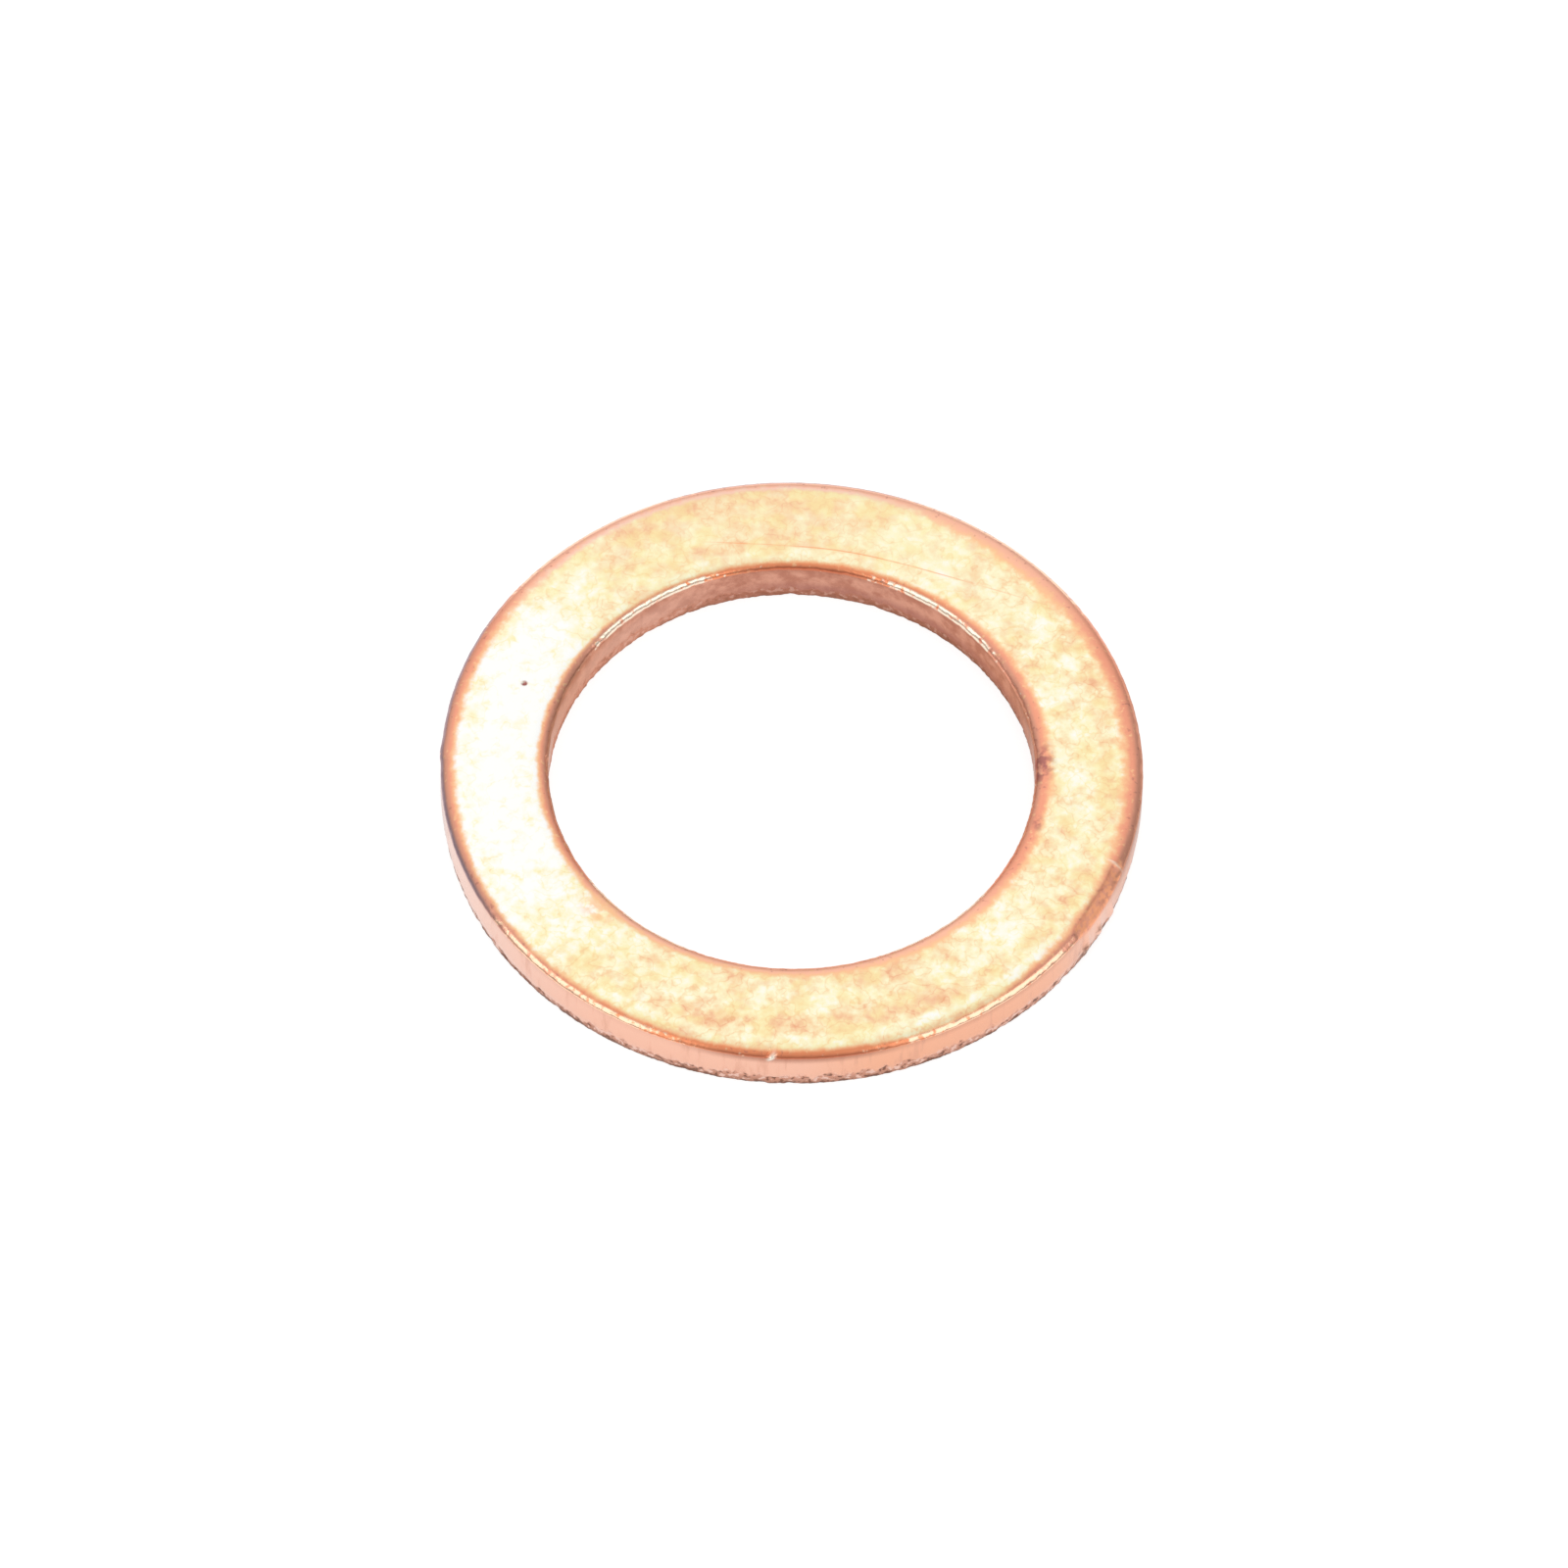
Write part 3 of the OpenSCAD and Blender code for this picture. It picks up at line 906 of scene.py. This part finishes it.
# The walls carry painted shade near their tops in front and on the right, and a painted highlight at the
# ring's left and right and low on the hole's left. In the hole, the corner's polish runs on a little way down
# the wall, with a painted glint
WALL_ROWS = (
    ("dull_front_right", "MULTIPLY", "front_right", 0.3),
    ("dull_most", "MAXIMUM", "foremost", "right_side", "dull_front_right"),
    ("dull_some", "MULTIPLY_ADD", "dull_most", 0.7, 0.12),
    ("dull_reach", "BLEND", "right_side", 0.32 * MM, 0.7 * MM),
    ("dull_down", "DIVIDE", "below", "dull_reach"),
    ("dull_near_top", "RISE", "dull_down", 1.0, 0.0),
    ("dull_top", "MULTIPLY", "dull_some", "dull_near_top"),
    ("dull_blotches", "RISE", "wall_blotches", 0.65, 0.35),
    ("pale_leftwards", "RISE", "rightwards", -0.2, -0.85, 0.0, 0.5),
    ("pale_down", "RISE", "below", 0.0, 0.6 * MM),
    ("pale_hole", "MULTIPLY", "pale_leftwards", "pale_down"),
    ("low_wall", "RISE", "z", 0.85 * MM, 0.42 * MM, 0.0, 0.7),
    ("low_rightwards", "RISE", "rightwards", -0.5, 0.1),
    ("low_hole", "MULTIPLY", "low_wall", "low_rightwards"),
    ("pale_left", "RISE", "rightwards", -0.45, -1.0),
    ("pale_right", "RISE", "rightwards", 0.75, 1.0),
    ("pale_outer", "MAXIMUM", "pale_left", "pale_right"),
    ("scored", "RISE", "scores", 0.48, 0.3, 0.0, 0.5),
    ("near_crest", "RISE", "below", 0.11 * MM, 0.01 * MM),
    # A painted glint: the hole's pale corner colour runs a little way down its wall.
    ("bared", "MULTIPLY", "hole_side", "polished", "near_crest"),
    ("unbared", "SUBTRACT", 1.0, "bared"),
    ("sheared", "MULTIPLY", "wall", "on_side", "unbared"),
    ("dull_walls", "MAXIMUM", "hole_side", "dull_right"),
)

# The torn bands: dirt stayed in their hollows, more of them near the foot, and the bands darken towards the
# foot, most on the outer wall's left and the hole's right; their ridges are bright. The last row makes the
# stains ragged
TORN_ROWS = (
    ("foot", "RISE", "z", 0.2 * MM, 0.02 * MM, 0.0, -0.15),
    ("torn_rough", "ADD", "foot", "torn_lumps"),
    ("torn_left", "RISE", "rightwards", -0.2, -0.6),
    ("soot_outer", "MULTIPLY_ADD", "rightwards", -0.3, 0.5),
    ("soot_hole", "MULTIPLY_ADD", "rightwards", 0.35, 0.3),
    ("soot", "BLEND", "hole_side", "soot_outer", "soot_hole"),
    ("soot_low", "RISE", "z", 0.48 * MM, 0.0),
    ("sooty", "MULTIPLY", "soot", "soot_low"),
    ("hollow", "RISE", "torn_rough", 0.43, 0.37),
    ("hollow_dirt", "BLEND", "hole_side", 1.0, 0.35),
    ("hollows", "MULTIPLY", "hollow", "hollow_dirt"),
    ("ridge", "RISE", "torn_rough", 0.52, 0.6),
    ("ridge_shine", "BLEND", "hole_side", 0.8, 0.3),
    ("ridges", "MULTIPLY", "ridge", "ridge_shine"),
    ("stain_ragged", "RISE", "stain_edges", 0.35, 0.6),
)

# Roughness, from the satin face to the polished corners, and which noise gives each surface its relief
SURFACE_ROWS = (
    ("rough_roll", "BLEND", "roll", 0.4, 0.28),
    ("rough_polish", "BLEND", "hole_side", 0.16, 0.22),
    ("rough_corner", "BLEND", "shiny", "rough_roll", "rough_polish"),
    ("rough_crushed", "BLEND", "crushed_side", "rough_corner", 0.45),
    ("rough_wall", "BLEND", "sheared", "rough_crushed", 0.22),
    ("rough", "BLEND", "torn", "rough_wall", 0.45),
    ("relief_wall", "BLEND", "torn", "scores", "grain"),
    ("relief", "BLEND", "roll", "mottle", "relief_wall"),
)
RELIEF_DEPTH = 0.01 * MM

# The colours that are laid over one another: each coat's ground, and what lies over it with its share
COATS = (
    ("sheet_coat", "sheet", ("blush", "blush"), ("lemon", "lemon"), ("scratch", "roll")),
    ("rim_coat", "rim", ("pink_behind", "rim_far")),
    ("low_coat", "roll_low_pink", ("in_front", "roll_low")),
    ("roll_coat", "roll_pink", ("in_front", "roll"), ("behind", "roll_far"), ("low_roll", "low_coat"),
     ("speckles", "rim"), ("spots", "dirt")),
    ("corner_shade_coat", "crest_side", ("lilac", "crest_lilac"), ("foremost", "crest_dull")),
    ("polish_glint_coat", "crest", ("hole_side", "crest_hole")),
    ("pierced_coat", "hole_wall", ("dull_blotches", "hole_wall_dull"), ("pale_hole", "wall_pale"),
     ("low_hole", "hole_wall_low")),
    ("wall_coat", "wall", ("front_right", "wall_warm"), ("pale_outer", "wall_pale"),
     ("turned_away", "crest_lilac"), ("scored", "torn"), ("hole_side", "pierced_coat"),
     ("dull_top", "wall_dull")),
    ("hole_torn_coat", "hole_wall_dull", ("torn_left", "hole_wall")),
    ("torn_coat", "torn", ("hole_side", "hole_torn_coat"), ("sooty", "torn_dark"), ("hollows", "torn_dark"),
     ("ridges", "torn_light")),
    ("coat", "sheet_coat", ("rim", "rim_coat"), ("roll", "roll_coat"), ("dull_corner", "corner_shade_coat"),
     ("shiny", "polish_glint_coat"), ("smeared", "crushed"), ("sheared", "wall_coat"), ("torn", "torn_coat")),
    ("edge_on_coat", "white", ("dull_walls", "edge_on")),
)

# Dirt that stayed at the hole's edge on the right and in the pit, dark patches under the crushed corner, and
# one warm blotch: the centre and half sizes of each in millimetres, how strong it is, and its colour
STAINS = (
    ((7.15, 0.25, 1.45), (0.55, 0.95, 0.6), 1.0, "dirt"),
    ((-5.35, -5.2, 1.55), (0.75, 0.75, 0.6), 0.8, "rim"),
    ((7.1, -1.85, 1.5), (0.22, 0.4, 0.5), 0.7, "dirt"),
    ((-7.77, 2.57, 1.5), (0.13, 0.13, 0.3), 1.6, "dirt"),
    ((8.5, -5.45, 0.35), (0.45, 0.45, 0.5), 1.0, "torn_dark"),
    ((8.9, -4.8, 0.5), (0.25, 0.25, 0.4), 0.8, "torn_dark"),
)


def read_surface(tree, place, section):
    """What the copper's pattern starts from, by name: the place, what the vertices note, the noises, and what
    the soft spots add up to."""
    at = {name: add_node(tree, "ShaderNodeAttribute", attribute_name=name, out="Fac") for name in ATTRIBUTES}
    at["x"], at["y"], at["z"] = add_node(tree, "ShaderNodeSeparateXYZ", place).node.outputs
    flat_place = add_node(tree, "ShaderNodeVectorMath", place, (1.0, 1.0, 0.0), operation="MULTIPLY")
    at["radius"] = add_node(tree, "ShaderNodeVectorMath", flat_place, operation="LENGTH", out="Value")
    at["outer_crest_z"] = THICKNESS - section.outer_roll_drop
    at["hole_crest_z"] = THICKNESS - section.hole_roll_drop
    for name, (lump_mm, detail, roughness, moved_mm, squash) in NOISES.items():
        moved = add_node(tree, "ShaderNodeMapping", place,
                         sockets={"Location": (moved_mm * MM,) * 3, "Scale": (1.0, 1.0, squash)})
        at[name] = add_node(
            tree, "ShaderNodeTexNoise", moved, out="Fac",
            sockets={"Scale": 1.0 / (lump_mm * MM), "Detail": detail, "Roughness": roughness},
        )
    for total, spots in (("spot_tone", TONE_SPOTS), ("tint_gain", TINT_SPOTS)):
        at[total] = 0.0
        for centre_mm, half_mm, gain in spots:
            share = spot_share(tree, place, centre_mm, half_mm)
            at[total] = add_node(tree, "ShaderNodeMath", share, gain, at[total], operation="MULTIPLY_ADD")
    return at


def add_press_rings(tree, at):
    """Add up the tone of the rings on the upper face, painted highlight and shade among them."""
    at["ring_tone"] = 0.0
    for middle_mm, half_mm, gain, shares in PRESS_RINGS:
        work_out(tree, at, (
            ("ring_side", "SUBTRACT", "radius", middle_mm * MM),
            ("ring_off", "ABSOLUTE", "ring_side"),
            ("ring", "RISE", "ring_off", half_mm * MM, SOFT_WHOLE * half_mm * MM),
            ("ring_shown", "MULTIPLY", "ring", gain, *shares),
            ("ring_tone", "ADD", "ring_tone", "ring_shown"),
        ))


def annealed_copper(finish, section):
    """Annealed copper sheet, rolled, pickled and blanked: pale satin faces with a soft gold and pink mottle,
    warmer bright edges where the metal was drawn, smooth walls with fine upright scores, and a rough band
    with dark hollows where it tore. The faces' pale cream is partly a painted highlight of the bright light
    above them, and the edges' deeper copper is partly painted shade; painted glints lie on the corners."""
    material = blank_material("annealed_copper_blanked")
    tree = material.node_tree
    place = add_node(tree, "ShaderNodeTexCoord", out="Object")
    at = read_surface(tree, place, section)
    work_out(tree, at, PLACE_ROWS + SIDE_ROWS + RING_ROWS)
    add_press_rings(tree, at)
    for rows in (TONE_ROWS, SCRATCH_ROWS, TINT_ROWS, ROLL_ROWS, WALL_ROWS, TORN_ROWS, SURFACE_ROWS):
        work_out(tree, at, rows)

    colours = {name: getattr(finish, name) for name in WasherFinish.__annotations__}
    colours["white"] = grey(1.0)
    stops = [(position, colours[name]) for position, name in SHEET_TONES]
    colours["sheet"] = add_node(tree, "ShaderNodeValToRGB", at["tone"], stops=stops)
    lay_coats(tree, at, colours, COATS)
    for centre_mm, half_mm, strength, colour in STAINS:
        at["stain_spot"] = spot_share(tree, place, centre_mm, half_mm)
        work_out(tree, at, [("stain", "MULTIPLY", "stain_spot", "stain_ragged", strength)])
        lay_coats(tree, at, colours, [("coat", "coat", ("stain", colour))])
    lay_coats(tree, at, colours, [("coat", "coat", ("fresh", "pale"))])

    bump = add_node(
        tree, "ShaderNodeBump", sockets={"Height": at["relief"], "Strength": 1.0, "Distance": RELIEF_DEPTH},
    )
    surface = add_node(tree, "ShaderNodeBsdfPrincipled", sockets={
        "Base Color": colours["coat"],
        "Metallic": 1.0,
        "Roughness": at["rough"],
        "Specular Tint": colours["edge_on_coat"],
        "Normal": bump,
    })
    add_node(tree, "ShaderNodeOutputMaterial", surface)
    return material


def white_card(studio):
    """Matt white card, pressed smooth: it scatters the light evenly and gives no gloss. What the camera and
    the metal see of it is brighter than the light that it gives, so that it shows as white."""
    material = blank_material("matt_white_card")
    tree = material.node_tree
    card = add_node(tree, "ShaderNodeBsdfDiffuse", sockets={"Color": studio.floor_colour, "Roughness": 0.5})
    ray = add_node(tree, "ShaderNodeLightPath").node.outputs
    at = {"seen": ray["Is Camera Ray"], "glossy": ray["Is Glossy Ray"], "through": ray["Is Transmission Ray"]}
    work_out(tree, at, (
        ("mirrored", "MAXIMUM", "glossy", "through"),
        ("seen_strength", "MULTIPLY", "seen", studio.floor_lift),
        ("strength", "MULTIPLY_ADD", "mirrored", studio.mirror_lift, "seen_strength"),
    ))
    lift = add_node(tree, "ShaderNodeEmission", sockets={"Strength": at["strength"]})
    both = add_node(tree, "ShaderNodeAddShader", card, lift)
    add_node(tree, "ShaderNodeOutputMaterial", both)
    return material


# Operators

def object_from(bm, name, material):
    """A new object at the origin that holds the mesh."""
    mesh = bpy.data.meshes.new(name)
    bm.to_mesh(mesh)
    bm.free()
    mesh.materials.append(material)
    made = bpy.data.objects.new(name, mesh)
    bpy.context.scene.collection.objects.link(made)
    return made


class WASHER_OT_add_ring(bpy.types.Operator):
    """Add the blanked copper ring, with its rolls, burnished walls, torn bands and marks"""

    bl_idname = "washer.add_ring"
    bl_label = "Add Sealing Washer"

    def execute(self, context):
        section = context.scene.washer_section
        wear = context.scene.washer_wear
        bm = draw_section(section)
        spin_ring(bm)
        weather_ring(bm, section, wear)
        ring = object_from(bm, "sealing_washer_ring", annealed_copper(context.scene.washer_finish, section))
        ring.data.shade_smooth()
        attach(ring, BODY)
        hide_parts(NODE)
        return {"FINISHED"}


# Half the floor's side
FLOOR_HALF = 2500.0 * MM
# The side of the photograph in pixels, and that of the camera's sensor in millimetres
IMAGE_SIDE = 1600
SENSOR = 36.0
# Where the centre of the lower face shows in the photograph, and how many pixels a millimetre spans there
CENTRE_PX = (807.3, 810.9)
PX_PER_MM = 35.43
# Where the camera's view begins and ends, as shares of its distance
CLIP_NEAR = 0.1
CLIP_FAR = 100.0


class WASHER_OT_add_studio(bpy.types.Operator):
    """Add the white floor, the soft light around it and the camera"""

    bl_idname = "washer.add_studio"
    bl_label = "Add Studio"

    def execute(self, context):
        studio = context.scene.washer_studio
        add_floor(studio)
        add_sky(context.scene)
        add_lamps(context.scene)
        add_camera(context.scene, studio)
        context.scene.view_settings.view_transform = "Standard"
        return {"FINISHED"}


def add_floor(studio):
    """A broad white floor, level with the washer's lower face."""
    bm = bmesh.new()
    bmesh.ops.create_grid(bm, x_segments=1, y_segments=1, size=FLOOR_HALF)
    floor = object_from(bm, "studio_floor", white_card(studio))


# The direction in which the tent is brightest, the cosines of the angles from there between which its light
# changes, and how bright it is at each
TENT_TOP = (-0.12, 0.5, 0.86)
TENT_COSINES = (0.4, 0.975)
TENT_LIGHT = (0.48, 1.08)
# The direction of the pale card around the camera
CARD_WAY = (0.0, -0.6, 0.8)
LIGHT_ROWS = (
    ("dimmer", "RISE", "sideways", 0.5, 0.8, 1.0, 0.92),
    ("tent_light", "MULTIPLY", "tent", "dimmer"),
    ("card_light", "RISE", "beside_camera", 0.8, 0.97, 0.0, 0.2),
    ("light", "ADD", "tent_light", "card_light"),
)


def add_sky(scene):
    """A light tent: brightest above and behind, dimmer to the sides and in front, with a pale card around the
    camera."""
    world = bpy.data.worlds.new("light_tent")
    world.use_nodes = True
    tree = world.node_tree
    tree.nodes.clear()
    way = add_node(tree, "ShaderNodeTexCoord", out="Generated")
    either_way = add_node(tree, "ShaderNodeVectorMath", way, operation="ABSOLUTE")
    axes = {
        "overhead": (way, TENT_TOP),
        "sideways": (either_way, (1.0, 0.0, 0.0)),
        "beside_camera": (way, CARD_WAY),
    }
    at = {
        name: add_node(tree, "ShaderNodeVectorMath", source, Vector(axis).normalized(),
                       operation="DOT_PRODUCT", out="Value")
        for name, (source, axis) in axes.items()
    }
    at["tent"] = add_node(tree, "ShaderNodeMapRange", at["overhead"], *TENT_COSINES, *TENT_LIGHT)
    work_out(tree, at, LIGHT_ROWS)
    light = add_node(tree, "ShaderNodeBackground", grey(1.0), at["light"])
    add_node(tree, "ShaderNodeOutputWorld", light)
    scene.world = world


# How far off and how high up the lamps are, in which directions, how broad and tall, and their power
LAMP_DISTANCE = 300.0 * MM
LAMP_ELEVATION = math.radians(33.0)
LAMP_AZIMUTHS = {"lamp_left": math.radians(-147.0), "lamp_right": math.radians(-33.0)}
LAMP_BREADTH = 280.0 * MM
LAMP_HEIGHT = 130.0 * MM
LAMP_WATTS = 0.12


def add_lamps(scene):
    """Two broad soft lamps, in front on the left and the right, that catch the corners of the rolls. No
    camera sees them."""
    centre = Vector((0.0, 0.0, THICKNESS))
    level = LAMP_DISTANCE * math.cos(LAMP_ELEVATION)
    for name, azimuth in LAMP_AZIMUTHS.items():
        data = bpy.data.lights.new(name, "AREA")
        data.shape = "RECTANGLE"
        data.size = LAMP_BREADTH
        data.size_y = LAMP_HEIGHT
        data.energy = LAMP_WATTS
        lamp = bpy.data.objects.new(name, data)
        lamp.location = on_ring(level, azimuth, LAMP_DISTANCE * math.sin(LAMP_ELEVATION))
        lamp.rotation_euler = (centre - lamp.location).to_track_quat("-Z", "Y").to_euler()
        lamp.visible_camera = False
        scene.collection.objects.link(lamp)


def add_camera(scene, studio):
    """The camera where the photograph was taken from: the shift only puts the washer in its place there."""
    data = bpy.data.cameras.new("photo_camera")
    camera = bpy.data.objects.new("photo_camera", data)
    back = Vector((0.0, -math.cos(studio.camera_elevation), math.sin(studio.camera_elevation)))
    distance = studio.camera_distance
    data.sensor_width = SENSOR
    data.lens = PX_PER_MM / MM * distance / IMAGE_SIDE * SENSOR
    data.shift_x = (IMAGE_SIDE / 2 - CENTRE_PX[0]) / IMAGE_SIDE
    data.shift_y = (CENTRE_PX[1] - IMAGE_SIDE / 2) / IMAGE_SIDE
    data.clip_start = CLIP_NEAR * distance
    data.clip_end = CLIP_FAR * distance
    turned = (-back).to_track_quat("-Z", "Y").to_matrix() @ Matrix.Rotation(studio.camera_roll, 3, "Z")
    camera.matrix_world = Matrix.Translation(back * distance) @ turned.to_4x4()
    scene.collection.objects.link(camera)
    scene.camera = camera


class WASHER_PT_panel(bpy.types.Panel):
    """The washer's operators and settings"""

    bl_idname = "WASHER_PT_panel"
    bl_label = "Sealing Washer"
    bl_space_type = "VIEW_3D"
    bl_region_type = "UI"
    bl_category = "Washer"

    def draw(self, context):
        layout = self.layout
        layout.operator(WASHER_OT_add_ring.bl_idname)
        layout.operator(WASHER_OT_add_studio.bl_idname)
        for group in SETTINGS:
            box = layout.box()
            for name in SETTINGS[group].__annotations__:
                box.prop(getattr(context.scene, group), name)


SETTINGS = {
    "washer_section": WasherSection,
    "washer_wear": WasherWear,
    "washer_finish": WasherFinish,
    "washer_studio": WasherStudio,
}
CLASSES = (*SETTINGS.values(), WASHER_OT_add_ring, WASHER_OT_add_studio, WASHER_PT_panel)


def register():
    for cls in CLASSES:
        bpy.utils.register_class(cls)
    for name, cls in SETTINGS.items():
        setattr(bpy.types.Scene, name, bpy.props.PointerProperty(type=cls))


def unregister():
    for name in SETTINGS:
        delattr(bpy.types.Scene, name)
    for cls in reversed(CLASSES):
        bpy.utils.unregister_class(cls)


def main():
    register()
    bpy.ops.washer.add_ring()
    bpy.ops.washer.add_studio()


if __name__ == "__main__":
    main()
